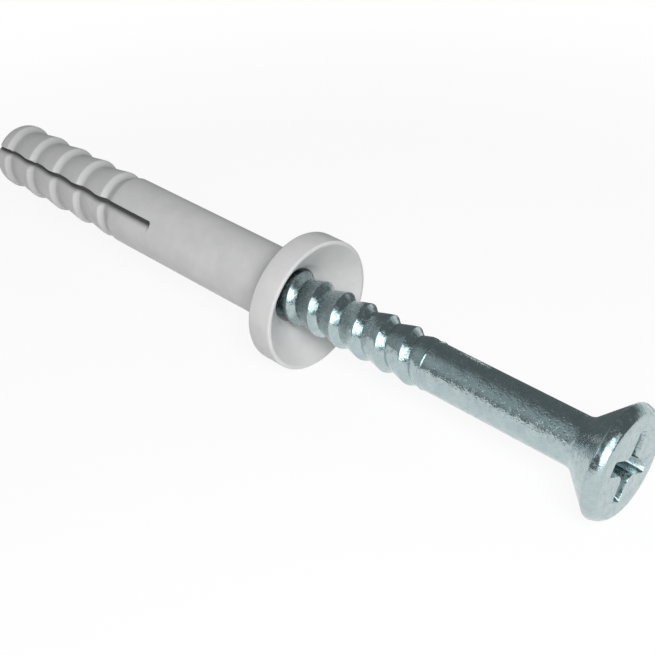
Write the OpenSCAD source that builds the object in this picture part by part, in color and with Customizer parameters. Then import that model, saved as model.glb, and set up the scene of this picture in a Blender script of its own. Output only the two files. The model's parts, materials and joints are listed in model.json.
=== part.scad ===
// Hammer fixing plug: a moulded sleeve with a collar, and the drive nail that stands in its bore.
// The axis lies along X, with the tip towards -X and the nail's head towards +X.
// The origin is on the axis, at the back of the collar, where the wall's face meets the plug.

/* [Sleeve] */
// Diameter of the sleeve's body and of its rib crests, the size of the drilled hole
body_d = 6; // [5.6:0.1:10]
// Length of the sleeve, from the collar's rim to the tip
sleeve_len = 40; // [34:0.5:80]
// Radius of the nose at the tip
tip_round = 0.65; // [0.2:0.05:1]
// Room around the driven head in the collar's cup
head_room = 0.85; // [0.3:0.05:3]
// Thickness of the collar
collar_h = 2.3; // [1.8:0.1:4]
// Radius of the collar's back edge
collar_round = 0.25; // [0.05:0.05:0.5]
// Width of the lip between the collar's outside and its cup
lip_w = 0.3; // [0.2:0.05:0.8]
// Radius of the lip's edges
lip_round = 0.1; // [0.02:0.02:0.1]
// Room between the thread's crest and the bore
bore_clear = 0.13; // [0.05:0.01:0.3]
// Depth of the bore's mouth below the back of the collar
mouth_depth = 0.2; // [0:0.05:0.3]
// Height of the cone at the bore's mouth that the driven head seats on
seat_h = 0.6; // [0.3:0.05:0.8]

/* [Ribs] */
// Number of ribs
rib_count = 5; // [2:1:6]
// Distance from the tip to the first crest
rib_first = 1.25; // [1.1:0.05:3]
// Distance from crest to crest
rib_pitch = 3.54; // [2.5:0.01:4.2]
// Depth of the valleys below the crests
rib_depth = 0.32; // [0.1:0.01:0.45]
// Length of the step that faces the collar
rib_step = 0.45; // [0.35:0.05:0.8]
// Length of the ramp from the last valley up to the plain body
ramp_len = 1.1; // [0.6:0.05:2]
// Radius of the crests and valleys
rib_round = 0.16; // [0.02:0.01:0.2]

/* [Slit] */
// Length of the slit, from the tip
slit_len = 22.6; // [10:0.1:34]
// Width of the slit between the two legs
slit_w = 0.45; // [0.2:0.05:0.8]
// Width of the sloping lip on one side of the slit
slit_lip_w = 0.7; // [0.2:0.05:1]
// Depth of the sloping lip
slit_lip_depth = 0.5; // [0.1:0.05:0.6]
// Diameter of the round end of the slit
slit_end_d = 0.8; // [0.5:0.05:1.2]
// Turn of the slit about the axis
slit_turn = 144; // [0:1:180]

/* [Nail] */
// Length of the nail, from the head's face to the point
nail_len = 45; // [38:0.5:90]
// Distance from the collar's rim to the head's face, before the nail is driven
stand_out = 28.3; // [20:0.1:34]
// How far the nail is driven home, as a share of its travel
drive = 0; // [0:0.05:1]
// Diameter of the plain shank
shank_d = 3.8; // [3:0.05:4.1]
// Length of head and plain shank together, down to the thread
plain_len = 17; // [8:0.5:22]
// Diameter of the head
head_d = 8.7; // [6.5:0.1:14]
// Angle between the sides of the head's cone
head_angle = 83; // [70:1:100]
// Height of the head's rim
rim_h = 0.8; // [0.5:0.05:1.2]
// Radius of the rim's front and back edges
rim_round = 0.3; // [0.05:0.05:0.35]
// Radius of the fillet under the head
fillet_r = 1.55; // [0.5:0.05:3]
// Gap left between the head and its seat when the nail is driven home
seat_gap = 0.1; // [0.05:0.05:0.3]

/* [Thread] */
// Diameter over the thread's crests
thread_d = 4.3; // [3.9:0.05:4.6]
// Diameter of the thread's root
root_d = 3.4; // [2.8:0.05:3.7]
// Distance that the thread climbs in one turn
thread_pitch = 2.3; // [1.5:0.05:4]
// Share of the pitch that rises gently to the crest
thread_rise = 0.7; // [0.5:0.01:0.75]
// Share of the pitch that falls steeply, on the side of the head
thread_fall = 0.25; // [0.08:0.01:0.25]
// Turn of the thread about the axis
thread_turn = 315; // [0:5:355]
// Length over which the thread runs out into the shank
runout_len = 1.2; // [0.4:0.1:3]
// Length of the point
point_len = 4; // [2:0.1:7]
// Diameter of the point's blunt end
point_d = 0.6; // [0.3:0.1:1.5]

/* [Cross recess] */
// Size of the recess across its wings, at the face
recess_d = 5.3; // [3:0.1:6]
// Size across the wings at the bottom
recess_floor_d = 2.2; // [1:0.1:3]
// Width of a wing
recess_w = 0.95; // [0.5:0.05:1.4]
// Depth of the wings
recess_depth = 2.4; // [1:0.1:2.8]
// Diameter of the round middle, at the face
recess_core_d = 2.3; // [1.2:0.1:3]
// Turn of the recess about the axis
recess_turn = 62; // [0:1:90]

/* [Hidden] */
$fn = 96;

// Corners per rounded edge, and the grid of the helical thread
round_steps = 3;
thread_sides = 16;
thread_rings_per_turn = 20;
// What a cut runs past the surface that it cuts
over = 1;
// How far the thread's core stands inside the shank, across and along the axis
core_inset = 0.04;
core_overlap = 0.4;
// The most of the wall that the nose at the tip takes
nose_share = 0.95;

// Sleeve: places along the axis and radii
body_r = body_d / 2;
tip_x = collar_h - sleeve_len;
cup_r = head_d / 2 + head_room;
collar_r = cup_r + lip_w;
bore_r = max(thread_d, shank_d) / 2 + bore_clear;
nose_r = min(tip_round, nose_share * (body_r - bore_r));
head_slope = tan(head_angle / 2);
mouth_x = -mouth_depth;
seat_r = bore_r + seat_h * head_slope;
last_crest_x = tip_x + rib_first + (rib_count - 1) * rib_pitch;
slit_x = tip_x + slit_len;

// Nail: places along the axis and radii
face_x = collar_h + stand_out;
point_x = face_x - nail_len;
thread_x = face_x - plain_len;
shank_r = shank_d / 2;
head_r = head_d / 2;
fillet_end_r = shank_r + fillet_r * (1 - cos(head_angle / 2));
cone_end_x = face_x - rim_h;
cone_start_x = cone_end_x - (head_r - fillet_end_r) / head_slope;
fillet_start_x = cone_start_x - fillet_r * sin(head_angle / 2);
// Where the head is as wide as the bore: on its fillet, or on its cone in a wider bore
fillet_turn = acos(max(cos(head_angle / 2), 1 - (bore_r - shank_r) / fillet_r));
bore_wide_x = fillet_start_x + fillet_r * sin(fillet_turn)
    + max(0, bore_r - fillet_end_r) / head_slope;
// The nail slides this far towards the tip before its head meets the seat
drive_travel = bore_wide_x - mouth_x - seat_gap;

// Turns a profile's axis (Z) to the plug's axis (X), with X to Y and Y to Z
module along_axis() {
    rotate([90, 0, 90]) children();
}

// Points of a rounded corner at b, between the edges from a and to c
function corner(a, b, c, r) =
    let (
        u = (a - b) / norm(a - b),
        v = (c - b) / norm(c - b),
        half = acos(u * v) / 2,
        centre = b + (u + v) / norm(u + v) * r / sin(half),
        start = b + u * r / tan(half) - centre,
        turn = sign(cross(u, v)) * (2 * half - 180)
    )
    [for (k = [0 : round_steps])
        let (t = turn * k / round_steps)
        centre + [start.x * cos(t) - start.y * sin(t), start.x * sin(t) + start.y * cos(t)]];

// Outline with rounded corners, from a list of [point, radius]
function rounded(list) =
    [for (i = [0 : len(list) - 1])
        let (
            n = len(list),
            a = list[(i + n - 1) % n][0],
            b = list[i][0],
            c = list[(i + 1) % n][0]
        )
        each (list[i][1] > 0 ? corner(a, b, c, list[i][1]) : [b])];

// One rib, as [point, radius]: its crest, then the valley at the foot of the step that faces the collar
function rib(x) = [
    [[body_r, x], rib_round],
    [[body_r - rib_depth, x + rib_step], rib_round]
];

// Outside of the sleeve with the cup, before the bore and the slit are cut
function sleeve_outline() = rounded(concat(
    [[[0, tip_x], 0], [[body_r, tip_x], nose_r]],
    [for (i = [0 : rib_count - 1]) each rib(tip_x + rib_first + i * rib_pitch)],
    [
        [[body_r, last_crest_x + rib_step + ramp_len], rib_round],
        [[body_r, 0], 0],
        [[collar_r, 0], collar_round],
        [[collar_r, collar_h], lip_round],
        [[cup_r, collar_h], lip_round],
        [[seat_r, mouth_x + seat_h], 0],
        [[bore_r, mouth_x], 0],
        [[0, mouth_x], 0]
    ]
));

// Section of the slit, across the axis: a gap through both walls, with a sloping lip at each mouth
module slit_section() {
    square([2 * (body_r + over), slit_w], center = true);
    for (turn = [0, 180])
        rotate(turn)
            polygon([
                [body_r - slit_lip_depth, 0],
                [body_r, slit_w / 2 + slit_lip_w],
                [body_r + over, slit_w / 2 + slit_lip_w],
                [body_r + over, 0]
            ]);
}

module slit() {
    rotate(slit_turn) {
        translate([0, 0, tip_x - over])
            linear_extrude(slit_len + over)
                slit_section();
        translate([0, 0, slit_x])
            rotate([0, 90, 0])
                cylinder(d = slit_end_d, h = 2 * (body_r + over), center = true);
    }
}

module sleeve() {
    color("gainsboro")
        along_axis()
            difference() {
                rotate_extrude() polygon(sleeve_outline());
                translate([0, 0, tip_x - over])
                    cylinder(r = bore_r, h = mouth_x - tip_x + 2 * over);
                slit();
            }
}

// Head and plain shank of the nail, with the fillet between them
function nail_outline() = rounded([
    [[0, thread_x], 0],
    [[shank_r, thread_x], 0],
    [[shank_r, fillet_start_x + fillet_r * tan(head_angle / 4)], fillet_r],
    [[head_r, cone_end_x], rim_round],
    [[head_r, face_x], rim_round],
    [[0, face_x], 0]
]);

// Height of the thread at a share q of the pitch: a gentle rise to the crest, then a steep fall
function tooth(q) =
    q < thread_rise ? q / thread_rise : max(0, 1 - (q - thread_rise) / thread_fall);

// Share of the full thread at x: it runs out where it meets the shank
function runout(x) = min(1, max(0, (thread_x - x) / runout_len));

// Share of the full radius at x: it comes down to the blunt end over the point
function taper(x) =
    let (blunt = point_d / root_d)
    min(1, blunt + (1 - blunt) * (x - point_x) / point_len);

function thread_radius(x, q) =
    let (full = root_d / 2 + (thread_d - root_d) / 2 * tooth(q))
    taper(x) * (shank_r - core_inset + (full - shank_r + core_inset) * runout(x));

// Right-hand thread and point: rings of points that turn once in a pitch, closed by a cap at each end
module thread() {
    sides = thread_sides;
    end_x = thread_x - core_inset;
    rings = ceil((end_x - point_x) / thread_pitch * thread_rings_per_turn);
    // The last ring stands inside the shank, so that the two overlap
    places = concat(
        [for (i = [0 : rings]) point_x + (end_x - point_x) * i / rings],
        [thread_x + core_overlap]
    );
    points = [
        for (x = places, j = [0 : sides - 1])
            let (
                q = j / sides,
                turn = thread_turn + 360 * (x / thread_pitch - q),
                r = x > thread_x ? min(root_d, shank_d) / 2 - core_inset : thread_radius(x, q)
            )
            [r * cos(turn), r * sin(turn), x]
    ];
    last = len(places) - 1;
    walls = [
        for (i = [0 : last - 1], j = [0 : sides - 1])
            let (
                a = i * sides + j,
                b = i * sides + (j + 1) % sides
            )
            each [[a, b, a + sides], [b, b + sides, a + sides]]
    ];
    caps = [
        [for (j = [sides - 1 : -1 : 0]) j],
        [for (j = [0 : sides - 1]) last * sides + j]
    ];
    polyhedron(points, concat(walls, caps));
}

// One pair of wings of the cross recess, narrowing with depth
module wing_pair() {
    rotate([90, 0, 0])
        linear_extrude(recess_w, center = true)
            polygon([
                [-recess_floor_d / 2, face_x - recess_depth],
                [recess_floor_d / 2, face_x - recess_depth],
                [recess_d / 2, face_x],
                [recess_d / 2, face_x + over],
                [-recess_d / 2, face_x + over],
                [-recess_d / 2, face_x]
            ]);
}

module cross_recess() {
    rotate(recess_turn) {
        wing_pair();
        rotate(90) wing_pair();
    }
    core_depth = recess_depth + recess_w / 2;
    translate([0, 0, face_x - core_depth])
        cylinder(d1 = recess_w, d2 = recess_core_d, h = core_depth);
}

module nail() {
    color("lightsteelblue")
        translate([-drive * drive_travel, 0, 0])
            along_axis() {
                difference() {
                    rotate_extrude() polygon(nail_outline());
                    cross_recess();
                }
                thread();
            }
}

sleeve();
nail();
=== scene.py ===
import json
import math

import bmesh
import bpy
from bpy.props import FloatProperty, FloatVectorProperty, IntProperty, PointerProperty
from mathutils import Matrix, Vector


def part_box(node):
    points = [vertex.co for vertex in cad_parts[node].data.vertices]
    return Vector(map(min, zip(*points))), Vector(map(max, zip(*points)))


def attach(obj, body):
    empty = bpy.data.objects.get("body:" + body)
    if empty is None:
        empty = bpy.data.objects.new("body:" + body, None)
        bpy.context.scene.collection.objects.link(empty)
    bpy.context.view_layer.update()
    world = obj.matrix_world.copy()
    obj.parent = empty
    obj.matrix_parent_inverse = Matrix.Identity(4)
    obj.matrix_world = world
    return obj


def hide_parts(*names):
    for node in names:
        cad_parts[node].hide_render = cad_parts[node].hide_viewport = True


bl_info = {
    "name": "Hammer Fixing Plug",
    "version": (1, 0, 0),
    "blender": (4, 5, 0),
    "location": "3D View > Sidebar > Fixing Plug",
    "description": "Builds a nylon plug sleeve, its zinc-plated drive nail and a white studio stage",
    "category": "Add Mesh",
}

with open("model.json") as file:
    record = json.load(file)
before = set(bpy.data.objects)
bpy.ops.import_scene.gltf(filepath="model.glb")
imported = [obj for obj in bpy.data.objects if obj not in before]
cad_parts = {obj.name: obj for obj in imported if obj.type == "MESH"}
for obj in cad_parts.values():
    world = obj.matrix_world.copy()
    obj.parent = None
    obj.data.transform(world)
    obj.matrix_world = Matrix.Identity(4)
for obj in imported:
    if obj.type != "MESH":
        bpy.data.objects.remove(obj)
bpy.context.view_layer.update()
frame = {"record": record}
SLEEVE_LOW, SLEEVE_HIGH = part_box("sleeve")
NAIL_LOW, NAIL_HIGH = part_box("nail")
HOLE = next(m for m in frame["record"]["mounts"] if m["name"] == "drill_hole")

MM = 0.001
AXIS = Vector((1.0, 0.0, 0.0))
CENTRE = (0.0, 0.0, 0.0)
MERGE = 1e-3 * MM
ROUND_SEGMENTS = 5


# Settings

def measure(name, description, metres):
    """A length property, with its default given in metres, as the frame has it."""
    return FloatProperty(name=name, description=description, default=metres,
                         unit="LENGTH", subtype="DISTANCE", precision=5)


def length(name, description, millimetres):
    """A length property, with its default given in millimetres."""
    return measure(name, description, millimetres * MM)


def share(name, description, value):
    """A share between 0 and 1."""
    return FloatProperty(name=name, description=description, default=value,
                         min=0.0, max=1.0, subtype="FACTOR")


def turn(name, description, degrees):
    """An angle property, with its default given in degrees."""
    return FloatProperty(name=name, description=description, default=math.radians(degrees),
                         subtype="ANGLE")


def colour(name, description, rgb):
    """A linear colour."""
    return FloatVectorProperty(name=name, description=description, default=rgb, size=3,
                               min=0.0, max=1.0, subtype="COLOR")


def watts(name, description, power):
    """The power of a lamp."""
    return FloatProperty(name=name, description=description, default=power, unit="POWER")


class SleeveSizes(bpy.types.PropertyGroup):
    """Sizes of the moulded sleeve."""

    tip_x: measure("Tip", "Place of the tip along the axis", SLEEVE_LOW.x)
    rim_x: measure("Collar rim", "Place of the collar's rim along the axis", SLEEVE_HIGH.x)
    body_radius: length("Body radius", "Radius of the plain body and the rib crests",
                        HOLE["dims"]["r_mm"])
    collar_radius: measure("Collar radius", "Radius of the collar", min(SLEEVE_HIGH.yz))
    bore_radius: length("Bore radius", "Radius of the bore", 2.28)
    nose: length("Nose depth", "Length over which the nose rounds in to the tip", 0.5)
    bore_edge: length("Bore edge", "Radius of the edge of the bore at the tip", 0.05)
    neck: length("Neck fillet", "Radius of the fillet between body and collar", 0.12)
    collar_edge: length("Collar edge", "Radius of the collar's back edge", 0.25)
    lip_width: length("Lip width", "Width of the lip round the cup", 0.3)
    lip_edge: length("Lip edge", "Radius of the lip's edges", 0.11)
    seat_height: length("Seat height", "Height of the cone at the bore's mouth", 0.6)
    seat_radius: length("Seat radius", "Radius where the seat's cone meets the cup", 2.81)
    seat_edge: length("Seat edge", "Radius where the cup meets the seat", 0.2)
    mouth_depth: length("Mouth depth", "Depth of the bore's mouth below the collar's back", 0.2)
    rib_count: IntProperty(name="Ribs", description="Number of ribs", default=5, min=1, max=6)
    rib_first: length("First rib", "Distance from the tip to the first crest", 1.25)
    rib_pitch: length("Rib pitch", "Distance from crest to crest", 3.54)
    rib_depth: length("Rib depth", "Depth of the valleys below the crests", 0.45)
    rib_step: length("Rib step", "Length of the step that faces the collar", 0.52)
    rib_lean: length("Rib lean", "How far the ribs lean to the collar in front and to the tip behind", 0.36)
    ramp: length("Ramp", "Length of the ramp from the last valley to the body", 1.1)
    swell: length("Swell radius", "Radius of the rise from a valley to the next crest", 4.0)
    crest_edge: length("Crest radius", "Radius of the rib crests", 0.22)
    valley_edge: length("Valley radius", "Radius of the valleys", 0.25)
    slit_length: length("Slit length", "Length of the slit from the tip", 22.6)
    slit_width: length("Slit width", "Width of the slit at its mouth", 0.28)
    slit_lip_width: length("Slit lip width", "Width of the sloping lip of the slit", 0.85)
    slit_depth: length("Slit depth", "Depth of the mouth, down to the lap between the legs", 0.6)
    slit_edge: length("Slit edge", "Radius of the slit's other edge", 0.08)
    slit_corner: length("Slit corner", "Radius of the corner at the slit's end", 0.3)
    slit_wave: length("Slit wave", "How far the slit wanders to either side along the ribs", 0.08)
    slit_squeeze: share("Slit squeeze", "How much narrower the slit is at the tip", 0.5)
    slit_turn: turn("Slit turn", "Turn of the slit about the axis", 144.0)


class NailSizes(bpy.types.PropertyGroup):
    """Sizes of the drive nail."""

    point_x: measure("Point", "Place of the point along the axis", NAIL_LOW.x)
    face_x: measure("Head face", "Place of the head's face along the axis", NAIL_HIGH.x)
    head_radius: measure("Head radius", "Radius of the head", min(NAIL_HIGH.yz))
    shank_radius: length("Shank radius", "Radius of the plain shank", 1.9)
    plain_length: length("Plain length", "Length of head and plain shank together", 17.0)
    head_angle: turn("Head angle", "Angle between the sides of the head's cone", 86.2)
    rim_height: length("Rim height", "Height of the head's rim", 0.95)
    rim_lean: length("Rim lean", "How far the rim leans in towards the face", 0.5)
    rim_edge: length("Rim edge", "Radius of the rim's edges", 0.2)
    fillet: length("Fillet", "Radius of the fillet under the head", 1.1)
    crest_radius: length("Crest radius", "Radius of the thread's crests", 2.15)
    root_radius: length("Root radius", "Radius of the thread's root", 1.7)
    crest_edge: length("Crest edge", "Radius of the thread's crest", 0.1)
    pitch: length("Pitch", "Distance that the thread climbs in one turn", 2.3)
    rise: share("Rise", "Share of the pitch where the crest stands", 0.7)
    fall: share("Fall", "Share of the pitch that falls to the root, on the side of the head", 0.27)
    thread_turn: turn("Thread turn", "Turn of the thread about the axis", 295.0)
    runout: length("Run-out", "Length over which the thread runs into the shank", 0.7)
    ridge: length("Ridge", "Height of the ridge where the shank starts", 0.09)
    point_length: length("Point length", "Length of the point", 4.0)
    point_radius: length("Point radius", "Radius of the point's blunt end", 0.3)
    recess_radius: length("Recess reach", "Reach of the recess's wings at the face", 2.65)
    recess_floor: length("Recess floor", "Reach of the wings at the bottom", 1.1)
    recess_width: length("Wing width", "Width of a wing", 1.15)
    recess_core: length("Core corner", "Cut of the corners between the wings", 0.6)
    recess_depth: length("Recess depth", "Depth of the wings", 2.4)
    recess_turn: turn("Recess turn", "Turn of the recess about the axis", 62.0)


class FinishColours(bpy.types.PropertyGroup):
    """Colours of the two finishes."""

    nylon: colour("Nylon", "Colour of the moulded nylon", (0.6, 0.6, 0.597))
    nylon_shade: colour("Nylon shade", "Darker flow patches in the nylon", (0.55, 0.55, 0.55))
    # Painted shade in the valleys between the ribs
    nylon_valley_shade: colour("Nylon valley", "Colour in the valleys between the ribs", (0.46, 0.46, 0.46))
    # Painted shade deep in the slit, where no light comes
    nylon_slit_shade: colour("Nylon slit", "Colour deep in the slit, where no light comes", (0.07, 0.07, 0.07))
    zinc: colour("Zinc", "Colour of the bright zinc", (0.49, 0.58, 0.588))
    zinc_shade: colour("Zinc shade", "Darker, bluer patches of the zinc", (0.41, 0.5, 0.515))
    # Painted shade deep in the recess: the zinc there is drawn darker
    zinc_recess_shade: colour("Zinc recess", "Dull zinc deep in the recess", (0.3, 0.36, 0.37))


class StageSettings(bpy.types.PropertyGroup):
    """Camera, floor and lamps."""

    lens: FloatProperty(name="Lens", description="Focal length for a 36 mm sensor",
                        default=66.28, unit="CAMERA")
    camera_place: FloatVectorProperty(name="Camera", description="Place of the camera", size=3,
                                      default=(0.057362, -0.057646, 0.052347),
                                      subtype="TRANSLATION", unit="LENGTH")
    camera_turn: turn("Camera turn", "Turn of the camera about the vertical", 43.14)
    camera_down: turn("Camera tilt", "How far the camera looks down", 34.30)
    key_power: watts("Key lamp", "Power of the key lamp, in watts", 0.135)
    fill_power: watts("Fill lamp", "Power of the fill lamp, in watts", 0.17)
    sky: FloatProperty(name="Sky", description="Strength of the even light of the room",
                       default=0.3, min=0.0)


# Mesh helpers

def rounding_cut(before, here, after, radius):
    """How far from a corner an arc of that radius starts."""
    a = (before - here).normalized()
    b = (after - here).normalized()
    half = math.acos(max(-1.0, min(1.0, a.dot(b)))) / 2
    return radius / math.tan(half)


def draw_profile(bm, corners, closed=False):
    """Draws a profile of (x, radius, rounding) corners in the XY half plane, and rounds them."""
    points = [Vector((x, r, 0.0)) for x, r, _ in corners]
    verts = [bm.verts.new(p) for p in points]
    following = verts[1:] + verts[:1] if closed else verts[1:]
    for a, b in zip(verts, following):
        bm.edges.new((a, b))
    count = len(corners)
    for i, (_, _, rounding) in enumerate(corners):
        if rounding > 0.0:
            cut = rounding_cut(points[i - 1], points[i], points[(i + 1) % count], rounding)
            bmesh.ops.bevel(bm, geom=[verts[i]], offset=cut, segments=ROUND_SEGMENTS,
                            profile=0.5, affect="VERTICES", material=-1)


def turn_about_axis(bm, angle):
    """Turns a whole mesh about the plug's axis."""
    bmesh.ops.rotate(bm, verts=bm.verts, cent=CENTRE, matrix=Matrix.Rotation(angle, 3, "X"))


def radius_of(vert):
    """Distance of a vertex from the axis."""
    return math.hypot(vert.co.y, vert.co.z)


def set_radius(vert, radius):
    """Moves a vertex straight towards or away from the axis."""
    old = radius_of(vert)
    vert.co.y *= radius / old
    vert.co.z *= radius / old


def smooth_step(t):
    """Rises softly from 0 to 1."""
    t = max(0.0, min(1.0, t))
    return t * t * (3.0 - 2.0 * t)


def soft_least(a, b, width):
    """The smaller of two values, with a soft change from one to the other."""
    t = max(0.0, min(1.0, 0.5 + 0.5 * (b - a) / width))
    return b + (a - b) * t - width * t * (1.0 - t)


def add_object(name, data):
    """Links a new object into the scene."""
    item = bpy.data.objects.new(name, data)
    bpy.context.scene.collection.objects.link(item)
    return item


def add_mesh(name, bm, material):
    """Makes the object of a finished mesh."""
    mesh = bpy.data.meshes.new(name)
    bm.to_mesh(mesh)
    bm.free()
    mesh.materials.append(material)
    return add_object(name, mesh)


def finish_piece(bm, name, material, sharp_angle):
    """Closes a piece's mesh, smooths its faces, marks its sharp edges and makes its object."""
    bmesh.ops.remove_doubles(bm, verts=bm.verts, dist=MERGE)
    bmesh.ops.recalc_face_normals(bm, faces=bm.faces)
    many_sided = [f for f in bm.faces if len(f.verts) > 4]
    bmesh.ops.triangulate(bm, faces=many_sided, quad_method="BEAUTY", ngon_method="BEAUTY")
    for face in bm.faces:
        face.smooth = True
    for edge in bm.edges:
        if len(edge.link_faces) != 2:
            raise RuntimeError(f"{name} has an open or crossed edge at {edge.verts[0].co}")
        edge.smooth = edge.calc_face_angle() < sharp_angle
    return add_mesh(name, bm, material)


# Sleeve

# Corners of the nose: share of its depth, share of the wall, and radius against its depth
NOSE = ((0.0, 0.24, 0.6), (0.3, 0.61, 0.8), (1.0, 0.9, 1.6))
# Rise from a valley to the next crest: share of its length, and what is left of the valley's depth
SWELL = ((0.4, 0.56), (0.75, 0.22))
# Rows that the end of the slit needs, in millimetres from it, and where the lap's cut ends
SLIT_END_ROWS = (-0.9, -0.6, -0.45, -0.36, -0.29, -0.23, -0.18, -0.13, -0.09, -0.05, 0.0, 0.4)
CUT_END_ROW = -0.23
# Columns in a gap of the slit, those that are cut through, and those in its lip, a leg and the other edge
GAP_STEPS = 9
CUT_STEPS = 2
LIP_STEPS = 12
LEG_STEPS = 54
EDGE_STEPS = 4
# Slit's mouth: power of the lip's slope, blend of lap and lip, and fading of the lip and the other edge
LIP_POWER = 1.6
LAP_BLEND = 0.05 * MM
LIP_FADE = 0.14 * MM
EDGE_FADE = 0.3 * MM
# Just less than half a gap, which leaves out its far wall
INSIDE_GAP = 0.499
SLEEVE_SHARP = math.radians(40.0)
# Attribute of the sleeve's mesh: how deep in the slit's mouth a point lies, as a share, which also masks
# the slit's painted shade
SLIT_DEPTH = "slit_depth"


def sleeve_corners(s):
    """The closed section of the sleeve's wall, from the bore at the tip round to the bore again."""
    slit_x = s.tip_x + s.slit_length
    end_rows = [slit_x + step * MM for step in SLIT_END_ROWS]
    first_x = s.tip_x + s.rib_first
    ramp_x = first_x + (s.rib_count - 1) * s.rib_pitch + s.rib_step + s.ramp
    rise = s.rib_pitch - s.rib_step
    wall = s.body_radius - s.bore_radius
    corners = [(s.tip_x, s.bore_radius, s.bore_edge)]
    corners += [(s.tip_x + along * s.nose, s.bore_radius + up * wall, rounding * s.nose)
                for along, up, rounding in NOSE]
    for i in range(s.rib_count):
        crest_x = first_x + i * s.rib_pitch
        valley_x = crest_x + s.rib_step
        corners.append((crest_x, s.body_radius, s.crest_edge))
        corners.append((valley_x, s.body_radius - s.rib_depth, s.valley_edge))
        if i < s.rib_count - 1:
            corners += [(valley_x + along * rise, s.body_radius - deep * s.rib_depth, s.swell)
                        for along, deep in SWELL]
    corners.append((ramp_x, s.body_radius, s.crest_edge))
    corners += [(x, s.body_radius, 0.0) for x in end_rows]
    corners += [
        (0.0, s.body_radius, s.neck),
        (0.0, s.collar_radius, s.collar_edge),
        (s.rim_x, s.collar_radius, s.lip_edge),
        (s.rim_x, s.collar_radius - s.lip_width, s.lip_edge),
        (s.seat_height - s.mouth_depth, s.seat_radius, s.seat_edge),
        (-s.mouth_depth, s.bore_radius, s.bore_edge),
    ]
    corners += [(x, s.bore_radius, 0.0) for x in reversed(end_rows)]
    return corners


def slit_sectors(s):
    """Angles that the slit, its sloping lip and its other edge take at the body's radius."""
    return (2.0 * math.asin(s.slit_width / 2 / s.body_radius), s.slit_lip_width / s.body_radius,
            s.slit_edge / s.body_radius)


def spin_sleeve(bm, s):
    """Spins the section in sectors: the gaps of the slit, their lips, the legs and the other edges."""
    gap, lip, edge = slit_sectors(s)
    leg = math.pi - gap - lip - edge
    turn_about_axis(bm, -gap / 2)
    geom = bm.verts[:] + bm.edges[:]
    for angle, steps in [(gap, GAP_STEPS), (lip, LIP_STEPS), (leg, LEG_STEPS), (edge, EDGE_STEPS)] * 2:
        spun = bmesh.ops.spin(bm, geom=geom, cent=CENTRE, axis=AXIS, dvec=(0, 0, 0),
                              angle=angle, steps=steps, use_merge=False, use_duplicate=False)
        geom = spun["geom_last"]
    bmesh.ops.remove_doubles(bm, verts=bm.verts, dist=MERGE)


def across_slit(co):
    """Place of a point across the slit, counted to the side of its sloping lip at either mouth."""
    return co.z if co.y > 0.0 else -co.z


def slit_angle(co):
    """Angle of a point from the middle of the nearer mouth, counted the same way."""
    return math.atan2(across_slit(co), abs(co.y))


def sink_mouth(bm, s):
    """Lowers the slit's mouth down to its lap, slopes the lip up from it and rounds the other edge."""
    depth = bm.verts.layers.float[SLIT_DEPTH]
    gap, lip, edge = slit_sectors(s)
    slit_x = s.tip_x + s.slit_length
    for vert in bm.verts:
        r = radius_of(vert)
        angle = slit_angle(vert.co)
        if r < s.bore_radius + s.bore_edge + MERGE or vert.co.x > slit_x + MERGE:
            continue
        if -INSIDE_GAP * gap < angle < gap / 2 + lip:
            off = s.body_radius * math.sin(angle) + s.slit_width / 2
            lip_share = max(0.0, (off - s.slit_width) / s.slit_lip_width)
            corner = max(0.0, s.slit_corner - off)
            end_x = (slit_x - s.slit_corner + math.sqrt(s.slit_corner ** 2 - corner ** 2)
                     - s.slit_corner * lip_share ** 2)
            reach = smooth_step((end_x - vert.co.x) / LIP_FADE)
            vert[depth] = (1.0 - min(1.0, lip_share)) ** LIP_POWER * reach
            floor = s.body_radius - s.slit_depth * vert[depth]
            set_radius(vert, soft_least(r, floor, LAP_BLEND) if reach > 0.0 else r)
        elif -gap / 2 - edge < angle < 0.0:
            into = min(s.slit_edge, s.slit_edge * (1.0 + (gap / 2 + angle) / edge))
            drop = s.slit_edge - math.sqrt(max(0.0, s.slit_edge ** 2 - into ** 2))
            set_radius(vert, r - drop * smooth_step((slit_x - vert.co.x) / EDGE_FADE))


def flatten_walls(bm, s):
    """Makes the slit's walls flat and parallel: its columns keep their width at every radius."""
    gap, lip, edge = slit_sectors(s)
    slit_x = s.tip_x + s.slit_length
    for vert in bm.verts:
        angle = slit_angle(vert.co)
        sector = lip if angle > 0.0 else edge
        if vert.co.x > slit_x + MERGE or abs(angle) > gap / 2 + sector:
            continue
        r = radius_of(vert)
        if abs(angle) < gap / 2:
            new_angle = math.asin(s.body_radius * math.sin(angle) / r)
        else:
            start = math.asin(s.slit_width / 2 / r)
            past_gap = (abs(angle) - gap / 2) / sector
            new_angle = math.copysign(start + past_gap * (gap / 2 + sector - start), angle)
        vert.co = Matrix.Rotation(new_angle - angle, 3, "X") @ vert.co


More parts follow.
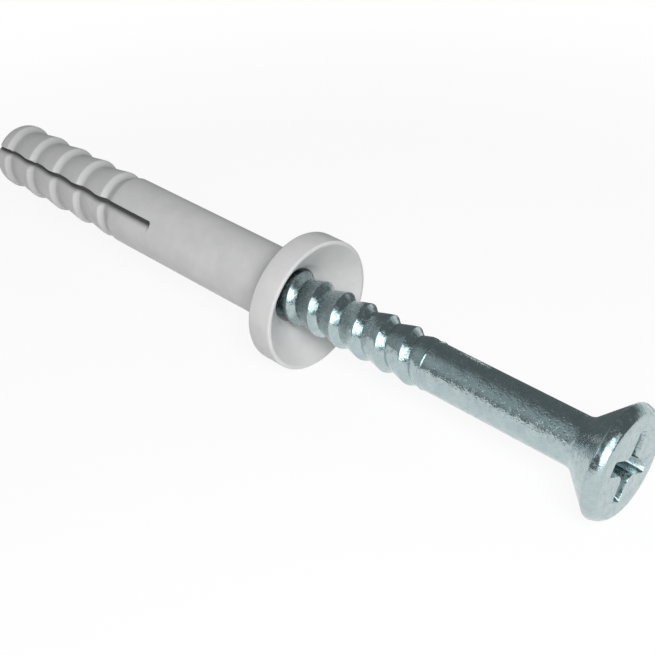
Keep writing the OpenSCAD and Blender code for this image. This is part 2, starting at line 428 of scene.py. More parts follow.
def cut_slit(bm, s):
    """Opens the slit from the tip, between the lap and the leg above it, and closes its walls."""
    gap, _, _ = slit_sectors(s)
    cut_x = s.tip_x + s.slit_length + CUT_END_ROW * MM
    cut_angle = gap * (CUT_STEPS / GAP_STEPS - 0.5)

    def in_cut(face):
        centre = face.calc_center_median()
        return -gap / 2 < slit_angle(centre) < cut_angle and centre.x < cut_x

    bmesh.ops.delete(bm, geom=[f for f in bm.faces if in_cut(f)], context="FACES")
    sink_mouth(bm, s)
    flatten_walls(bm, s)
    near = -s.slit_width / 2
    far = s.body_radius * math.sin(cut_angle)
    for mouth in (1.0, -1.0):
        rim = [e for e in bm.edges if e.is_boundary and e.verts[0].co.y * mouth > 0.0]
        for side in (near, far):
            wall = [e for e in rim if all(abs(across_slit(v.co) - side) < MERGE for v in e.verts)]
            ends = [v for e in wall for v in e.verts]
            ends = [v for v in set(ends) if ends.count(v) == 1]
            bmesh.ops.contextual_create(bm, geom=wall + [bm.edges.new(ends)])
        across = [e for e in rim if abs(across_slit(e.verts[0].co) - across_slit(e.verts[1].co)) > MERGE]
        bmesh.ops.bridge_loops(bm, edges=across)


def wave_slit(bm, s):
    """Lets the slit wander along the ribs, and closes it a little towards the tip."""
    gap, lip, edge = slit_sectors(s)
    last_x = s.tip_x + s.rib_first + s.rib_count * s.rib_pitch
    for vert in bm.verts:
        angle = slit_angle(vert.co)
        near = 1.0 - smooth_step((abs(angle) - gap / 2 - edge) / (lip + edge))
        along = (vert.co.x - s.tip_x - s.rib_first - s.rib_step / 2) / s.rib_pitch
        fade = smooth_step((last_x - vert.co.x) / s.rib_pitch)
        shift = s.slit_wave * near * fade * math.sin(2.0 * math.pi * along)
        open_share = smooth_step((vert.co.x - s.tip_x) / s.slit_length)
        side = max(-1.0, min(1.0, across_slit(vert.co) / (s.slit_width / 2)))
        shift += s.slit_squeeze * (1.0 - open_share) * near * side * s.slit_width / 2
        vert.co = Matrix.Rotation(-shift / s.body_radius, 3, "X") @ vert.co


def lean_ribs(bm, s):
    """Leans the rings of the ribs along the axis, from nothing at the tip to nothing on the body."""
    last_x = s.tip_x + s.rib_first + s.rib_count * s.rib_pitch
    for vert in bm.verts:
        fade = (smooth_step((vert.co.x - s.tip_x) / s.rib_first)
                * smooth_step((last_x - vert.co.x) / (s.rib_pitch - s.rib_step)))
        vert.co.x -= s.rib_lean * fade * vert.co.y / s.body_radius


def build_sleeve(s, material):
    """The moulded sleeve as one closed mesh."""
    bm = bmesh.new()
    bm.verts.layers.float.new(SLIT_DEPTH)
    draw_profile(bm, sleeve_corners(s), closed=True)
    spin_sleeve(bm, s)
    cut_slit(bm, s)
    wave_slit(bm, s)
    turn_about_axis(bm, s.slit_turn)
    lean_ribs(bm, s)
    return finish_piece(bm, "moulded_sleeve", material, SLEEVE_SHARP)


# Nail

THREAD_STEPS = 84
HEAD_STEPS = 128
FLANK_STEPS = 6
FALL_STEPS = 4
# How much the thread's long flank bulges, and how hollow its fall is, as shares
FLANK_BULGE = 0.2
FALL_HOLLOW = 0.25
# Joint between thread and shank, and the flat ring of the face that is spun with the head
JOINT_LENGTH = 0.3 * MM
FACE_RING = 0.5 * MM
# Ridge where the shank starts: place along it, height and rounding, all against the ridge's height
RIDGE = ((1.2, 1.0, 0.6), (2.6, 0.0, 0.8))
# Rim: share of its height below the face, share of its lean, and rounding against its edge
RIM = ((1.0, 0.0, 1.0), (0.45, 0.3, 4.0), (0.0, 1.0, 2.0))
# Levels of the recess: share of its depth, then reach and width of the wings and width of the middle
# against the face; the floor's reach is a size of its own, and the cone below it ends the recess
RECESS_LEVELS = ((0.02, 0.985, 0.95, 0.97), (0.14, 0.93, 0.76, 0.92), (0.45, 0.8, 0.56, 0.84),
                 (0.7, 0.62, 0.48, 0.72))
RECESS_FLOOR = (0.4, 0.6)
RECESS_END = (1.2, 0.12, 0.2, 0.2)
WING_CORNER = 0.2 * MM
WING_SEGMENTS = 4
NAIL_SHARP = math.radians(38.0)


def thread_corners(n, start_x):
    """One pitch of the thread: the long flank, the crest and the hollow fall to the next root."""
    height = n.crest_radius - n.root_radius
    root = n.rise + n.fall - 1.0
    corners = []
    for k in range(FLANK_STEPS):
        q = k / FLANK_STEPS
        swell = FLANK_BULGE * math.sin(math.pi / 2 * q) + (1.0 - FLANK_BULGE) * q
        corners.append((start_x + (root + q * (n.rise - root)) * n.pitch,
                        n.root_radius + height * swell, 0.0))
    corners.append((start_x + n.rise * n.pitch, n.crest_radius, n.crest_edge))
    for k in range(1, FALL_STEPS + 1):
        q = k / FALL_STEPS
        left = (1.0 - FALL_HOLLOW) * (1.0 - q) + FALL_HOLLOW * (1.0 - q) ** 2
        corners.append((start_x + (n.rise + q * n.fall) * n.pitch, n.root_radius + height * left, 0.0))
    return corners


def spin_thread(bm, n):
    """Spins the right-hand thread, trims it, and shapes its run-out and the point."""
    thread_x = n.face_x - n.plain_length
    lead = n.thread_turn / (2.0 * math.pi)
    first_turn = math.floor(n.point_x / n.pitch + lead) - 1
    start_x = n.pitch * (first_turn - lead)
    turns = math.ceil((thread_x - start_x) / n.pitch) + 1
    draw_profile(bm, thread_corners(n, start_x))
    bmesh.ops.spin(bm, geom=bm.verts[:] + bm.edges[:], cent=CENTRE, axis=AXIS,
                   dvec=AXIS * n.pitch / THREAD_STEPS, angle=2.0 * math.pi * turns,
                   steps=turns * THREAD_STEPS, use_merge=False, use_duplicate=False)
    bmesh.ops.remove_doubles(bm, verts=bm.verts, dist=MERGE)
    for x, way in [(n.point_x, -AXIS), (thread_x, AXIS)]:
        bmesh.ops.bisect_plane(bm, geom=bm.verts[:] + bm.edges[:] + bm.faces[:], dist=MERGE,
                               plane_co=(x, 0, 0), plane_no=way, clear_outer=True)
    bmesh.ops.remove_doubles(bm, verts=bm.verts, dist=MERGE)
    blunt = n.point_radius / n.root_radius
    for vert in bm.verts:
        full = smooth_step((thread_x - vert.co.x) / n.runout)
        taper = min(1.0, blunt + (1.0 - blunt) * (vert.co.x - n.point_x) / n.point_length)
        set_radius(vert, taper * (n.shank_radius + (radius_of(vert) - n.shank_radius) * full))
    return thread_x


def open_loop(bm, x):
    """The open edges at a place along the axis."""
    return [e for e in bm.edges if e.is_boundary and all(abs(v.co.x - x) < MERGE for v in e.verts)]


def join_part(bm, part):
    """Takes a finished part into another mesh."""
    spare = bpy.data.meshes.new("part")
    part.to_mesh(spare)
    part.free()
    bm.from_mesh(spare)
    bpy.data.meshes.remove(spare)


def spin_head(bm, n, start_x):
    """Spins the plain shank, the fillet, the cone and the rim, and leaves the face open."""
    cone_x = n.face_x - n.rim_height
    corner_x = cone_x - (n.head_radius - n.shank_radius) / math.tan(n.head_angle / 2)
    corners = [(start_x, n.shank_radius, 0.0)]
    corners += [(start_x + along * n.ridge, n.shank_radius + up * n.ridge, rounding * n.ridge)
                for along, up, rounding in RIDGE]
    corners.append((corner_x, n.shank_radius, n.fillet))
    corners += [(n.face_x - below * n.rim_height, n.head_radius - lean * n.rim_lean, rounding * n.rim_edge)
                for below, lean, rounding in RIM]
    corners.append((n.face_x, n.head_radius - n.rim_lean - FACE_RING, 0.0))
    part = bmesh.new()
    draw_profile(part, corners)
    bmesh.ops.spin(part, geom=part.verts[:] + part.edges[:], cent=CENTRE, axis=AXIS,
                   dvec=(0, 0, 0), angle=2.0 * math.pi, steps=HEAD_STEPS, use_merge=True,
                   use_duplicate=False)
    join_part(bm, part)


def recess_outline(bm, n):
    """Draws the cross at the face, with rounded wing ends and cut inner corners."""
    half, reach = n.recess_width / 2, n.recess_radius
    corners = []
    for quarter in range(4):
        spin = Matrix.Rotation(quarter * math.pi / 2, 3, "X")
        for y, z, cut in [(reach, -half, WING_CORNER), (reach, half, WING_CORNER),
                          (half, half, n.recess_core)]:
            corners.append((spin @ Vector((0.0, y, z)) + AXIS * n.face_x, cut))
    verts = [bm.verts.new(point) for point, _ in corners]
    for a, b in zip(verts, verts[1:] + verts[:1]):
        bm.edges.new((a, b))
    for vert, (_, cut) in zip(verts, corners):
        bmesh.ops.bevel(bm, geom=[vert], offset=cut, segments=WING_SEGMENTS, profile=0.5,
                        affect="VERTICES", material=-1)


def sink_recess(bm, n, rim):
    """Extrudes the cross into the head: wings that slope in, and a cone at the bottom."""
    inner = n.recess_width / 2 + n.recess_core
    floor = (1.0, n.recess_floor / n.recess_radius, *RECESS_FLOOR)
    outline = {v: v.co.copy() for e in rim for v in e.verts}
    for depth, along, across, middle in RECESS_LEVELS + (floor, RECESS_END):
        made = bmesh.ops.extrude_edge_only(bm, edges=rim)["geom"]
        verts = {g for g in made if isinstance(g, bmesh.types.BMVert)}
        rim = [g for g in made if isinstance(g, bmesh.types.BMEdge) and verts.issuperset(g.verts)]
        above = {v: next(outline[e.other_vert(v)] for e in v.link_edges
                         if e.other_vert(v) in outline) for v in verts}
        for vert, start in above.items():
            reach = max(abs(start.y), abs(start.z))
            wing = smooth_step((reach - inner) / (n.recess_radius - inner))
            longer = middle + (along - middle) * wing
            wider = middle + (across - middle) * wing
            on_y = abs(start.y) > abs(start.z)
            vert.co = (n.face_x - depth * n.recess_depth,
                       start.y * (longer if on_y else wider),
                       start.z * (wider if on_y else longer))
        outline = above
    bmesh.ops.contextual_create(bm, geom=rim)


def build_nail(n, material):
    """The drive nail as one closed mesh."""
    bm = bmesh.new()
    thread_x = spin_thread(bm, n)
    bmesh.ops.contextual_create(bm, geom=open_loop(bm, n.point_x))
    shank_x = thread_x + JOINT_LENGTH
    spin_head(bm, n, shank_x)
    bmesh.ops.bridge_loops(bm, edges=open_loop(bm, thread_x) + open_loop(bm, shank_x))
    cross = bmesh.new()
    recess_outline(cross, n)
    sink_recess(cross, n, cross.edges[:])
    turn_about_axis(cross, n.recess_turn)
    join_part(bm, cross)
    bmesh.ops.triangle_fill(bm, edges=open_loop(bm, n.face_x), use_beauty=True, normal=AXIS)
    return finish_piece(bm, "drive_nail", material, NAIL_SHARP)


# Nodes

def feed(tree, socket, value):
    """Sets an input to a plain value, or links another node's output to it."""
    if isinstance(value, bpy.types.NodeSocket):
        tree.links.new(value, socket)
    else:
        socket.default_value = value


def add_node(tree, kind, spot, **settings):
    """Adds a node, sets its options by name, and its inputs where a setting starts with in_."""
    node = tree.nodes.new(kind)
    node.location = spot
    for key, value in settings.items():
        if key.startswith("in_"):
            feed(tree, node.inputs[key[3:].replace("_", " ")], value)
        else:
            setattr(node, key, value)
    return node


def calculate(tree, spot, operation, *values):
    """Works out one value from numbers and outputs of nodes."""
    node = add_node(tree, "ShaderNodeMath", spot, operation=operation)
    for socket, value in zip(node.inputs, values):
        feed(tree, socket, value)
    return node.outputs["Value"]


def calculate_vector(tree, spot, operation, result, *values):
    """The same with vectors, and with the name of the output that is wanted."""
    node = add_node(tree, "ShaderNodeVectorMath", spot, operation=operation)
    for socket, value in zip(node.inputs, values):
        feed(tree, socket, value)
    return node.outputs[result]


def map_range(tree, spot, value, span, to=(0.0, 1.0), soft=False):
    """Maps one range of a value onto another, and keeps it within that."""
    node = add_node(tree, "ShaderNodeMapRange", spot, in_Value=value,
                    interpolation_type="SMOOTHSTEP" if soft else "LINEAR")
    for name, end in zip(("From Min", "From Max", "To Min", "To Max"), (*span, *to)):
        feed(tree, node.inputs[name], end)
    return node.outputs["Result"]


def blend_colours(tree, spot, mask, low, high):
    """Mixes a colour, or the output of a node, with another colour by a mask."""
    mix = add_node(tree, "ShaderNodeMix", spot, data_type="RGBA", in_Factor=mask)
    first, second = [s for s in mix.inputs if s.type == "RGBA"]
    feed(tree, first, low if isinstance(low, bpy.types.NodeSocket) else (*low, 1.0))
    feed(tree, second, (*high, 1.0))
    return next(s for s in mix.outputs if s.type == "RGBA")


def mix_shaders(tree, spot, mask, first, second):
    """Mixes two shaders by a mask."""
    mix = add_node(tree, "ShaderNodeMixShader", spot, in_Fac=mask)
    feed(tree, mix.inputs[1], first)
    feed(tree, mix.inputs[2], second)
    return mix.outputs["Shader"]


def bare_material(name):
    """A material with no nodes yet, and its tree."""
    material = bpy.data.materials.new(name)
    material.use_nodes = True
    material.node_tree.nodes.clear()
    return material, material.node_tree


# Finishes

# Shade of a rib valley: share of the pitch over which it fades along the next rise, share of the step
# that it climbs, and share of the pitch where it ends after the last valley
VALLEY_FADE = 0.5
VALLEY_CLIMB = 0.7
VALLEY_END = 0.7
# Shares of the slit's depth over which its painted shade turns dark, and roughness of the nylon's dark and
# light patches
SLIT_SHADE_SPAN = (0.15, 1.0)
NYLON_ROUGHNESS = (0.52, 0.42)
# How fast a cone that holds the recess narrows from the face, how far outside the wings its soft edge is,
# and how deep in the recess the painted shade lies, in millimetres
RECESS_CONE = 0.75
RECESS_MARGIN = (0.5, 0.3)
RECESS_SHADE_DEPTHS = (0.2, 0.8)
# Pits in the zinc: distance from a crystal's middle, places along the nail where they deepen and how much,
# places where they end under the face, heights over which they start, and what is left of them elsewhere;
# places and heights are in millimetres
PIT_EDGE = (0.1, 0.38)
PIT_ALONG = (11.0, 22.0)
PIT_DEPTHS = (0.5, 3.2)
PIT_HEAD = (27.8, 26.6)
PIT_HEIGHT = (0.45, 0.95)
PIT_LEAST = 0.1
# Frosted zinc: the grain where frost starts and is full, and its roughness; height of the drawing marks
FROST_GRAIN = (0.48, 0.66)
FROST_ROUGHNESS = (0.17, 0.4)
MARK_HEIGHT = 0.7
# Range of the noise that is spread out to light and dark patches
PATCH_SPREAD = (0.32, 0.68)


def grain_group():
    """Patches and fine grain that both finishes share, from coordinates in millimetres."""
    old = bpy.data.node_groups.get("patches_and_grain")
    if old:
        return old
    group = bpy.data.node_groups.new("patches_and_grain", "ShaderNodeTree")
    group.interface.new_socket("Vector", in_out="INPUT", socket_type="NodeSocketVector")
    for name in ("Patch Scale", "Grain Scale"):
        group.interface.new_socket(name, in_out="INPUT", socket_type="NodeSocketFloat")
    for name in ("Patches", "Grain"):
        group.interface.new_socket(name, in_out="OUTPUT", socket_type="NodeSocketFloat")
    given = add_node(group, "NodeGroupInput", (-600, 0)).outputs
    patch = add_node(group, "ShaderNodeTexNoise", (-350, 150), in_Vector=given["Vector"],
                     in_Scale=given["Patch Scale"], in_Detail=3.0, in_Roughness=0.6)
    grain = add_node(group, "ShaderNodeTexNoise", (-350, -150), in_Vector=given["Vector"],
                     in_Scale=given["Grain Scale"], in_Detail=2.0, in_Roughness=0.55)
    add_node(group, "NodeGroupOutput", (300, 0), in_Grain=grain.outputs["Fac"],
             in_Patches=map_range(group, (0, 150), patch.outputs["Fac"], PATCH_SPREAD))
    return group


def start_material(name, patch_scale, grain_scale):
    """A material's tree, its shader, object coordinates in millimetres, and its patches and grain."""
    material = bpy.data.materials.new(name)
    material.use_nodes = True
    tree = material.node_tree
    where = add_node(tree, "ShaderNodeTexCoord", (-1300, 0))
    scale = add_node(tree, "ShaderNodeMapping", (-1100, 0), in_Vector=where.outputs["Object"],
                     in_Scale=(1000.0, 1000.0, 1000.0))
    coords = scale.outputs["Vector"]
    grain = add_node(tree, "ShaderNodeGroup", (-850, 0), node_tree=grain_group(), in_Vector=coords,
                     in_Patch_Scale=patch_scale, in_Grain_Scale=grain_scale)
    return material, tree, tree.nodes["Principled BSDF"], coords, grain.outputs


def valley_shade_mask(tree, coords, s):
    """Mask of the painted valley shade: 1 in the valleys between the ribs, fading up the step and along the
    next rise.
    """
    pitch = s.rib_pitch / MM
    valley = (s.tip_x + s.rib_first + s.rib_step) / MM
    split = add_node(tree, "ShaderNodeSeparateXYZ", (-1300, 900), in_Vector=coords).outputs
    upright = calculate(tree, (-1200, 1100), "MULTIPLY_ADD", split["Y"],
                        s.rib_lean / s.body_radius, split["X"])
    turns = calculate(tree, (-1100, 900), "MULTIPLY_ADD", upright, 1.0 / pitch, -valley / pitch)
    along = calculate(tree, (-900, 900), "FRACT", turns)
    climb = 1.0 - VALLEY_CLIMB * s.rib_step / s.rib_pitch
    rise = map_range(tree, (-700, 1000), along, (VALLEY_FADE, 0.0), soft=True)
    fall = map_range(tree, (-700, 800), along, (climb, 1.0), soft=True)
    ribbed = calculate(tree, (-700, 600), "LESS_THAN", turns, s.rib_count - 1 + VALLEY_END)
    both = calculate(tree, (-500, 900), "MAXIMUM", rise, fall)
    return calculate(tree, (-300, 900), "MULTIPLY", both, ribbed)


def nylon_finish(c, s):
    """Moulded grey nylon: soft sheen, faint flow patches, painted shade in the valleys and deep in the
    slit, and a fine skin texture.
    """
    material, tree, shader, coords, grain = start_material("moulded_nylon", patch_scale=0.55,
                                                           grain_scale=7.0)
    tone = blend_colours(tree, (-600, 250), grain["Patches"], c.nylon_shade, c.nylon)
    # Painted shade in the rib valleys
    tone = blend_colours(tree, (-450, 400), valley_shade_mask(tree, coords, s), tone, c.nylon_valley_shade)
    # Painted shade deep in the slit, from how deep in its mouth a point lies
    slit = add_node(tree, "ShaderNodeAttribute", (-850, 500), attribute_name=SLIT_DEPTH)
    deep = map_range(tree, (-600, 500), slit.outputs["Fac"], SLIT_SHADE_SPAN, soft=True)
    tone = blend_colours(tree, (-300, 300), deep, tone, c.nylon_slit_shade)
    rough = map_range(tree, (-500, 0), grain["Patches"], (0.0, 1.0), NYLON_ROUGHNESS)
    bump = add_node(tree, "ShaderNodeBump", (-300, -250), in_Height=grain["Grain"], in_Strength=0.35,
                    in_Distance=0.012 * MM)
    feed(tree, shader.inputs["Base Color"], tone)
    feed(tree, shader.inputs["Roughness"], rough)
    feed(tree, shader.inputs["Normal"], bump.outputs["Normal"])
    shader.inputs["IOR"].default_value = 1.5
    return material


def recess_shade_mask(tree, coords, along, n):
    """Mask of the recess's painted shade: 1 deep in the recess, 0 on the head's face and on everything
    outside the recess.
    """
    face = n.face_x / MM
    across = calculate_vector(tree, (-1300, 700), "MULTIPLY", "Vector", coords, (0.0, 1.0, 1.0))
    radius = calculate_vector(tree, (-1100, 700), "LENGTH", "Value", across)
    cone = calculate(tree, (-900, 800), "MULTIPLY_ADD", along, -RECESS_CONE, radius)
    edge = n.recess_radius / MM - RECESS_CONE * face
    inside = map_range(tree, (-700, 800), cone, [edge + margin for margin in RECESS_MARGIN])
    deep = map_range(tree, (-700, 1000), along, [face - depth for depth in RECESS_SHADE_DEPTHS], soft=True)
    return calculate(tree, (-500, 900), "MULTIPLY", inside, deep)


def zinc_finish(c, n):
    """Bright zinc plate: bluish metal with patches, crystals, frost and drawing marks along it, and painted
    shade deep in the recess.
    """
    material, tree, shader, coords, grain = start_material("bright_zinc", patch_scale=1.3,
                                                           grain_scale=3.2)
    split = add_node(tree, "ShaderNodeSeparateXYZ", (-1050, -1000), in_Vector=coords).outputs
    near_head = map_range(tree, (-850, -1000), split["X"], PIT_ALONG, PIT_DEPTHS)
    off_head = map_range(tree, (-1050, -1250), split["X"], PIT_HEAD, (PIT_LEAST, 1.0))
    upper = map_range(tree, (-850, -1250), split["Z"], PIT_HEIGHT, (PIT_LEAST, off_head))
    crowd = calculate(tree, (-650, -1100), "MULTIPLY", near_head, upper)
    depth = calculate(tree, (-650, -850), "MULTIPLY", grain["Patches"], crowd)
    crystals = add_node(tree, "ShaderNodeTexVoronoi", (-850, -600), in_Vector=coords, in_Scale=3.8)
    pits = map_range(tree, (-650, -600), crystals.outputs["Distance"], PIT_EDGE, (0.0, depth), soft=True)
    drawn = add_node(tree, "ShaderNodeMapping", (-850, -300), in_Vector=coords, in_Scale=(0.35, 5.0, 5.0))
    noise = add_node(tree, "ShaderNodeTexNoise", (-650, -300), in_Vector=drawn.outputs["Vector"],
                     in_Scale=1.0, in_Detail=2.0)
    marks = map_range(tree, (-620, -480), noise.outputs["Fac"], (0.0, 1.0), (0.0, MARK_HEIGHT))
    pitted = calculate(tree, (-450, -400), "ADD", grain["Grain"], pits)
    height = calculate(tree, (-450, -250), "ADD", pitted, marks)
    bump = add_node(tree, "ShaderNodeBump", (-300, -250), in_Height=height, in_Strength=0.6,
                    in_Distance=0.022 * MM)
    tone = blend_colours(tree, (-500, 250), grain["Patches"], c.zinc_shade, c.zinc)
    # Painted shade deep in the recess
    tone = blend_colours(tree, (-250, 350), recess_shade_mask(tree, coords, split["X"], n), tone, c.zinc_recess_shade)
    frost = map_range(tree, (-650, -50), grain["Grain"], FROST_GRAIN, FROST_ROUGHNESS, soft=True)
    feed(tree, shader.inputs["Base Color"], tone)
    feed(tree, shader.inputs["Roughness"], frost)
    feed(tree, shader.inputs["Normal"], bump.outputs["Normal"])
    shader.inputs["Metallic"].default_value = 1.0
    return material


# Stage

# Soft lamps of the reflected room: direction, half width and half height in degrees, soft share, brightness
ROOM_LAMPS = (
    ((0.73, -0.43, 0.49), 27.0, 27.0, 0.3, 2.6),
    ((-0.05, -0.75, 0.66), 13.0, 18.0, 0.6, 1.1),
    ((-0.6, -0.5, 0.62), 45.0, 48.0, 0.7, 0.3),
    ((0.25, 0.95, 0.2), 40.0, 16.0, 0.6, 0.45),
)
ROOM_DARK = 0.16
ROOM_TINT = (0.9, 1.0, 1.02, 1.0)
ROOM_RADIUS = 0.6
ROOM_OPEN = math.radians(7.0)
# Dark cards behind the plug: width, height, tilt and place
DARK_CARDS = (
    (0.166, 0.036, math.pi / 2, (-0.077, 0.022, 0.011)),
    (0.0095, 0.0092, math.pi / 2, (0.0193, 0.008, 0.0004)),
    (0.188, 0.0175, 0.0, (-0.066, 0.01325, -0.0042)),
)
# Floor: its size, its grey, where it fades to white round the plug, and the share of white there
FLOOR_SIZE = 2.0
FLOOR_GREY = (0.85, 0.85, 0.85, 1.0)
FLOOR_FADE = (0.04, 0.1)
FLOOR_WHITE = (0.9, 1.0)
# How far in from the collar's rim and from the head's face the floor touches them
COLLAR_TOUCH = 0.1 * MM
HEAD_TOUCH = 0.3 * MM
# Lamps: place, target and size
KEY_LAMP = ((0.078, -0.057, 0.072), (0.004, 0.0, 0.0), 0.05)
FILL_LAMP = ((-0.15, 0.35, 0.3), (0.0, 0.0, 0.0), 0.3)
SENSOR_WIDTH = 36.0
CLIP_START = 1.0 * MM


def seen_straight(tree, spot):
    """1 for camera, glossy and transmission rays, else 0."""
    path = add_node(tree, "ShaderNodeLightPath", spot).outputs
    x, y = spot
    either = calculate(tree, (x + 200, y), "MAXIMUM", path["Is Camera Ray"], path["Is Glossy Ray"])
    return calculate(tree, (x + 400, y), "MAXIMUM", either, path["Is Transmission Ray"])


def floor_material():
    """White floor: a white ground with the soft shadow left in it, open from below."""
    material, tree = bare_material("studio_floor")
    matte = add_node(tree, "ShaderNodeBsdfDiffuse", (-200, 100), in_Color=FLOOR_GREY)
    white = add_node(tree, "ShaderNodeEmission", (-200, -50), in_Strength=1.0)
    where = add_node(tree, "ShaderNodeTexCoord", (-700, 600))
    far = calculate_vector(tree, (-500, 600), "LENGTH", "Value", where.outputs["Object"])
    fade = map_range(tree, (-300, 600), far, FLOOR_FADE, FLOOR_WHITE, soft=True)
    whiteness = calculate(tree, (0, 250), "MULTIPLY", seen_straight(tree, (-700, 300)), fade)
    lit = mix_shaders(tree, (200, 100), whiteness, matte.outputs["BSDF"], white.outputs["Emission"])
    clear = add_node(tree, "ShaderNodeBsdfTransparent", (200, -100))
    facing = add_node(tree, "ShaderNodeNewGeometry", (200, 350))
    whole = mix_shaders(tree, (450, 100), facing.outputs["Backfacing"], lit, clear.outputs["BSDF"])
    add_node(tree, "ShaderNodeOutputMaterial", (650, 100), in_Surface=whole)
    return material


def room_material():
    """The dim room that metal reflects, with soft lamps in it."""
    material, tree = bare_material("reflected_room")
    where = add_node(tree, "ShaderNodeTexCoord", (-1000, 0))
    way = calculate_vector(tree, (-800, 0), "NORMALIZE", "Vector", where.outputs["Object"])
    total = ROOM_DARK
    for i, (direction, width, height, soft, bright) in enumerate(ROOM_LAMPS):
        row = -300 * i
        aimed = Vector(direction).normalized()
        side = Vector((0, 0, 1)).cross(aimed).normalized()
        offs = add_node(tree, "ShaderNodeCombineXYZ", (-400, row))
        for k, (span, half) in enumerate([(side, width), (aimed.cross(side), height)]):
            off = calculate_vector(tree, (-600, row - 120 * k), "DOT_PRODUCT", "Value", way,
                                   span / math.sin(math.radians(half)))
            feed(tree, offs.inputs[k], off)
        far = calculate_vector(tree, (-250, row), "LENGTH", "Value", offs.outputs["Vector"])
        glare = map_range(tree, (-100, row), far, (1.0, 1.0 - soft), (0.0, bright), soft=True)
        facing = calculate_vector(tree, (-600, row - 240), "DOT_PRODUCT", "Value", way, aimed)
        front = calculate(tree, (-100, row - 200), "GREATER_THAN", facing, 0.0)
        total = calculate(tree, (100, row), "MULTIPLY_ADD", glare, front, total)
    glow = add_node(tree, "ShaderNodeEmission", (300, 0), in_Color=ROOM_TINT, in_Strength=total)
    add_node(tree, "ShaderNodeOutputMaterial", (500, 0), in_Surface=glow.outputs["Emission"])
    return material


def only_reflected(item):
    """Leaves an object to reflections alone."""
    item.visible_camera = False
    item.visible_diffuse = False
    item.visible_transmission = False
    item.visible_volume_scatter = False
    item.visible_shadow = False
    return item


def build_cards():
    """Dark cards behind the plug, upright and on the floor, which give the metal its dark upper side."""
    bm = bmesh.new()
    for width, height, tilt, spot in DARK_CARDS:
        card = bmesh.ops.create_grid(bm, x_segments=1, y_segments=1, size=0.5)["verts"]
        bmesh.ops.scale(bm, verts=card, vec=(width, height, 1.0))
        bmesh.ops.rotate(bm, verts=card, cent=CENTRE, matrix=Matrix.Rotation(tilt, 3, "X"))
        bmesh.ops.translate(bm, verts=card, vec=spot)
    material, tree = bare_material("dark_card")
    glow = add_node(tree, "ShaderNodeEmission", (0, 0), in_Color=ROOM_TINT, in_Strength=ROOM_DARK)
    add_node(tree, "ShaderNodeOutputMaterial", (200, 0), in_Surface=glow.outputs["Emission"])
    return only_reflected(add_mesh("dark_card", bm, material))


def build_room():
    """A dome that only reflections see, open below so that they see the white ground."""
    bm = bmesh.new()
    bmesh.ops.create_uvsphere(bm, u_segments=64, v_segments=48, radius=ROOM_RADIUS)
    bmesh.ops.bisect_plane(bm, geom=bm.verts[:] + bm.edges[:] + bm.faces[:], dist=MERGE,
                           plane_co=(0, 0, ROOM_RADIUS * math.sin(ROOM_OPEN)), plane_no=(0, 0, 1),
                           clear_inner=True)
    return only_reflected(add_mesh("reflected_room", bm, room_material()))


def build_floor():
    """A wide floor that the collar and the nail's head both touch."""
    collar = Vector((SLEEVE_HIGH.x - COLLAR_TOUCH, 0.0, SLEEVE_LOW.z))
    head = Vector((NAIL_HIGH.x - HEAD_TOUCH, 0.0, NAIL_LOW.z))
    slope = (head.z - collar.z) / (head.x - collar.x)
    bm = bmesh.new()
    bmesh.ops.create_grid(bm, x_segments=2, y_segments=2, size=FLOOR_SIZE)
    bmesh.ops.rotate(bm, verts=bm.verts, cent=CENTRE, matrix=Matrix.Rotation(-math.atan(slope), 3, "Y"))
    bmesh.ops.translate(bm, verts=bm.verts, vec=(0, 0, collar.z - slope * collar.x))
    return add_mesh("studio_floor", bm, floor_material())


def add_lamp(name, spot, target, size, power):
    """A square soft lamp that leaves no glint of its own."""
    data = bpy.data.lights.new(name, "AREA")
    data.energy = power
    data.size = size
    lamp = add_object(name, data)
    lamp.location = spot
    lamp.rotation_euler = (Vector(target) - lamp.location).to_track_quat("-Z", "Y").to_euler()
    lamp.visible_glossy = False


def set_world(strength):
    """A white world for the eye and for reflections, and an even light of the given strength."""
    world = bpy.data.worlds.new("studio_white")
    world.use_nodes = True
    tree = world.node_tree
    tree.nodes.clear()
    light, white = [add_node(tree, "ShaderNodeBackground", spot, in_Color=(1.0, 1.0, 1.0, 1.0),
                             in_Strength=level).outputs["Background"]
                    for spot, level in [((0, 100), strength), ((0, -50), 1.0)]]
    mix = mix_shaders(tree, (250, 50), seen_straight(tree, (-600, 250)), light, white)
    add_node(tree, "ShaderNodeOutputWorld", (450, 50), in_Surface=mix)
    bpy.context.scene.world = world


def build_camera(t):
    """The camera at the picture's angle, for a square picture."""
    data = bpy.data.cameras.new("picture_camera")
    data.sensor_width = SENSOR_WIDTH
    data.sensor_fit = "HORIZONTAL"
    data.lens = t.lens
    data.clip_start = CLIP_START
    camera = add_object("picture_camera", data)
    camera.location = t.camera_place
    camera.rotation_euler = (math.pi / 2 - t.camera_down, 0.0, t.camera_turn)
    bpy.context.scene.camera = camera


# Operators

class FIXING_PLUG_OT_sleeve(bpy.types.Operator):
    """Adds the moulded sleeve"""

    bl_idname = "fixing_plug.sleeve"
    bl_label = "Moulded Sleeve"
    bl_options = {"REGISTER", "UNDO"}

    def execute(self, context):
        scene = context.scene
        piece = build_sleeve(scene.plug_sleeve, nylon_finish(scene.plug_finish, scene.plug_sleeve))
        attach(piece, "sleeve")
        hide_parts("sleeve")
        return {"FINISHED"}


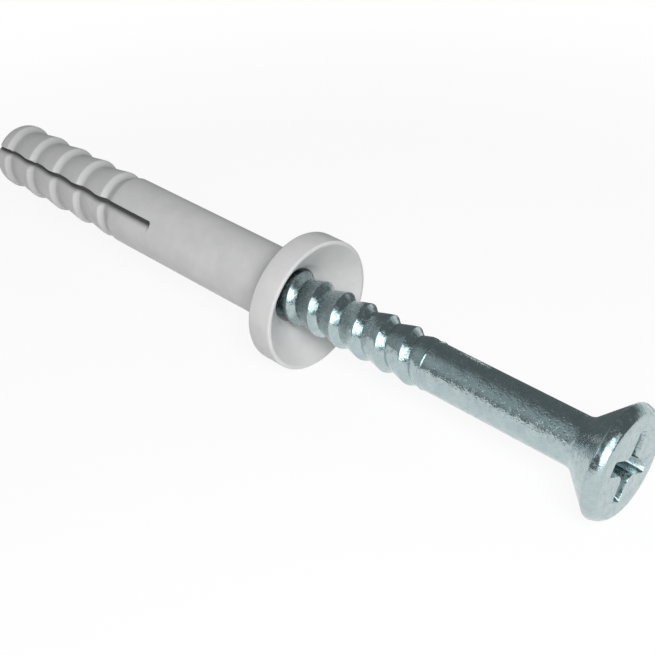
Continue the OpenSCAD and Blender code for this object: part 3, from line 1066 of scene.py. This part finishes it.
class FIXING_PLUG_OT_nail(bpy.types.Operator):
    """Adds the zinc-plated drive nail"""

    bl_idname = "fixing_plug.nail"
    bl_label = "Drive Nail"
    bl_options = {"REGISTER", "UNDO"}

    def execute(self, context):
        scene = context.scene
        piece = build_nail(scene.plug_nail, zinc_finish(scene.plug_finish, scene.plug_nail))
        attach(piece, "nail")
        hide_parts("nail")
        return {"FINISHED"}


class FIXING_PLUG_OT_stage(bpy.types.Operator):
    """Adds the camera, the white floor, the reflected room and the lamps"""

    bl_idname = "fixing_plug.stage"
    bl_label = "Studio Stage"
    bl_options = {"REGISTER", "UNDO"}

    def execute(self, context):
        scene = context.scene
        settings = scene.plug_stage
        scene.view_settings.view_transform = "Standard"
        build_camera(settings)
        set_world(settings.sky)
        build_floor()
        build_room()
        build_cards()
        add_lamp("key_lamp", *KEY_LAMP, settings.key_power)
        add_lamp("fill_lamp", *FILL_LAMP, settings.fill_power)
        return {"FINISHED"}


class FIXING_PLUG_PT_panel(bpy.types.Panel):
    """Lists the plug's pieces and its stage"""

    bl_idname = "FIXING_PLUG_PT_panel"
    bl_label = "Fixing Plug"
    bl_space_type = "VIEW_3D"
    bl_region_type = "UI"
    bl_category = "Fixing Plug"

    def draw(self, context):
        for step in STEPS:
            self.layout.operator(step.bl_idname)


STEPS = (FIXING_PLUG_OT_sleeve, FIXING_PLUG_OT_nail, FIXING_PLUG_OT_stage)
GROUPS = {
    "plug_sleeve": SleeveSizes,
    "plug_nail": NailSizes,
    "plug_finish": FinishColours,
    "plug_stage": StageSettings,
}


def register():
    for cls in (*GROUPS.values(), *STEPS, FIXING_PLUG_PT_panel):
        bpy.utils.register_class(cls)
    for name, cls in GROUPS.items():
        setattr(bpy.types.Scene, name, PointerProperty(type=cls))


def unregister():
    for name in GROUPS:
        delattr(bpy.types.Scene, name)
    for cls in (FIXING_PLUG_PT_panel, *reversed(STEPS), *reversed(GROUPS.values())):
        bpy.utils.unregister_class(cls)


def main():
    register()
    bpy.ops.fixing_plug.sleeve()
    bpy.ops.fixing_plug.nail()
    bpy.ops.fixing_plug.stage()


if __name__ == "__main__":
    main()
